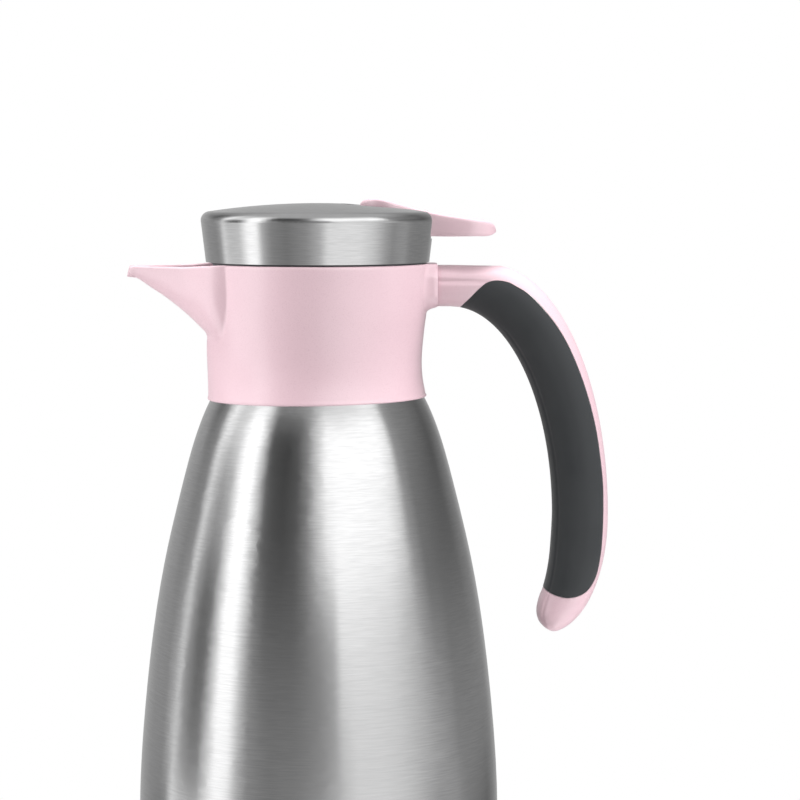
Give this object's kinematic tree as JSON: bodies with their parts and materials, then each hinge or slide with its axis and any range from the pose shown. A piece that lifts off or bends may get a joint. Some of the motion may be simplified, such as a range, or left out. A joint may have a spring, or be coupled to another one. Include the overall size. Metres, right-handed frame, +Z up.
{
  "type": "vacuum jug",
  "caption": "Double-walled steel vacuum jug with a beak spout, an open hanging handle and a screw-in stopper whose thumb lever lifts a pouring valve.",
  "frame": {"origin": "on the jug's axis, in the plane it stands on", "axes": "+Z up along the jug's axis, +X towards the handle, -X towards the spout"},
  "size_m": [0.1729, 0.1298, 0.2742],
  "materials": {
    "brushed_steel": "satin, brushed round the body",
    "inner_steel": "plain drawn steel",
    "pink_plastic": "satin moulded plastic",
    "soft_grip": "soft-touch matte",
    "dark_plastic": "fine texture",
    "pale_plastic": "satin",
    "silicone": "matte silicone",
    "foot_rubber": "matte",
    "small_metal": "plain bright"
  },
  "bodies": {
    "jug": {"outer_shell": "brushed_steel", "outer_bottom": "brushed_steel", "vacuum_seal": "inner_steel", "inner_flask": "inner_steel", "inner_shoulder": "inner_steel", "inner_bottom": "inner_steel", "getter": "inner_steel", "base_cup": "dark_plastic", "foot_pad": "foot_rubber", "neck_gasket": "silicone", "collar": "pink_plastic", "neck_insert": "pale_plastic", "handle_frame": "pink_plastic", "handle_grip": "soft_grip", "handle_screws": "small_metal"},
    "stopper_ring": {"stopper_gasket": "silicone"},
    "stopper": {"stopper_body": "pale_plastic", "stem_guide": "pale_plastic", "stopper_deck": "dark_plastic", "stem_ring": "silicone", "rim_gasket": "silicone", "cap_carrier": "dark_plastic", "cap_shell": "brushed_steel", "cap_screws": "small_metal", "lever_pin": "small_metal", "return_spring": "small_metal"},
    "lever": {"thumb_lever": "pink_plastic"},
    "valve": {"valve_stem": "small_metal", "valve_disc": "pale_plastic", "valve_seal": "silicone", "stem_clip": "small_metal"}
  },
  "joints": [
    {"name": "stopper_lift", "type": "slide", "parent": "jug", "child": "stopper_ring", "axis": [0, 0, 1], "range_m": [0, 0.01013]},
    {"name": "stopper_turn", "type": "hinge", "parent": "stopper_ring", "child": "stopper", "pos_m": [0, 0, 0.24], "axis": [0, 0, 1], "range_deg": [0, 810]},
    {"name": "lever_press", "type": "hinge", "parent": "stopper", "child": "lever", "pos_m": [0.031, 0, 0.2624], "axis": [0, 1, 0], "range_deg": [-9, 0]},
    {"name": "valve_slide", "type": "slide", "parent": "stopper", "child": "valve", "axis": [0, 0, 1], "range_m": [-0.0049, 0], "stiffness_N_per_m": 100, "springref_m": -0.016, "deforming": ["return_spring"]}
  ],
  "couplings": [
    {"joint": "stopper_lift", "follows": "stopper_turn", "m_per_rad": 0.0007162},
    {"joint": "lever_press", "follows": "valve_slide", "rad_per_m": 32.05}
  ]
}
